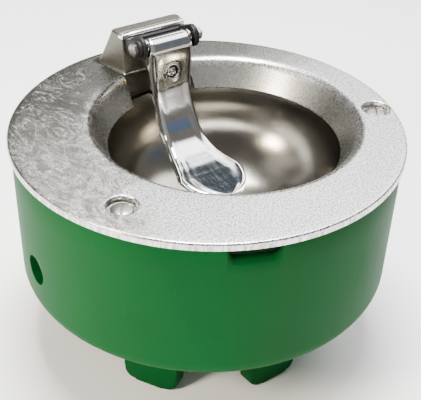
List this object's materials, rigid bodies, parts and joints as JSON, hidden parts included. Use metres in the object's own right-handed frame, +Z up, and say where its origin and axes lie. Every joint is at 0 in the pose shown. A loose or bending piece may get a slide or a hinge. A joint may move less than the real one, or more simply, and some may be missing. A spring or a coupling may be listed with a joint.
{
  "type": "push-paddle livestock water trough",
  "caption": "Round drinking trough: a green plastic body on feet carries a cast cover, a steel bowl and a hinged paddle that opens the water valve.",
  "frame": {"origin": "on the base's axis, on the plane under the feet, which is the bottom centre of the whole part", "axes": "+Z up, +Y from the base's axis towards the hinge housing, X along the hinge bolt"},
  "size_m": [0.4, 0.4, 0.3004],
  "materials": {
    "cast_aluminium": "as-cast and hand-ground, satin",
    "stainless": "deep-drawn, satin",
    "polished_stainless": "polished, near mirror",
    "zinc_steel": "zinc plated",
    "brass": "turned",
    "green_plastic": "moulded, lightly textured",
    "black_plastic": "moulded, semi-matt",
    "rubber": "soft black"
  },
  "bodies": {
    "housing": {"base_body": "green_plastic", "cast_cover": "cast_aluminium", "cover_screw_left": "zinc_steel", "cover_screw_right": "zinc_steel", "cover_nut_left": "zinc_steel", "cover_nut_right": "zinc_steel", "rear_bolt": "zinc_steel", "rear_washer": "zinc_steel", "bowl": "stainless", "bowl_gasket": "rubber", "hinge_bracket": "black_plastic", "hinge_bolt": "zinc_steel", "hinge_washer": "zinc_steel", "hinge_nut": "zinc_steel", "hinge_sleeve": "stainless", "bracket_screw_left": "zinc_steel", "bracket_screw_right": "zinc_steel", "valve_body": "brass", "valve_gasket": "rubber", "valve_lock_nut": "brass", "stem_guide": "black_plastic", "valve_spring": "stainless", "inlet_elbow": "brass", "inlet_nut": "brass"},
    "paddle": {"paddle": "polished_stainless"},
    "stem": {"valve_stem": "stainless", "valve_seal": "rubber", "pusher_cap": "black_plastic"},
    "flow_screw": {"flow_screw": "polished_stainless"}
  },
  "joints": [
    {"name": "paddle_hinge", "type": "hinge", "parent": "housing", "child": "paddle", "pos_m": [0.025, 0.119, 0.288], "axis": [1, 0, 0], "range_deg": [0, 9]},
    {"name": "valve_stem_slide", "type": "slide", "parent": "housing", "child": "stem", "axis": [0, 1, 0], "range_m": [0, 0.005], "stiffness_N_per_m": 1500, "springref_m": -0.005, "deforming": ["valve_spring"]},
    {"name": "flow_screw_turn", "type": "hinge", "parent": "stem", "child": "flow_screw", "pos_m": [0.025, 0.11, 0.257], "axis": [0, 1, 0], "range_deg": [-180, 180]}
  ],
  "couplings": [
    {"joint": "valve_stem_slide", "follows": "paddle_hinge", "m_per_rad": 0.031}
  ]
}
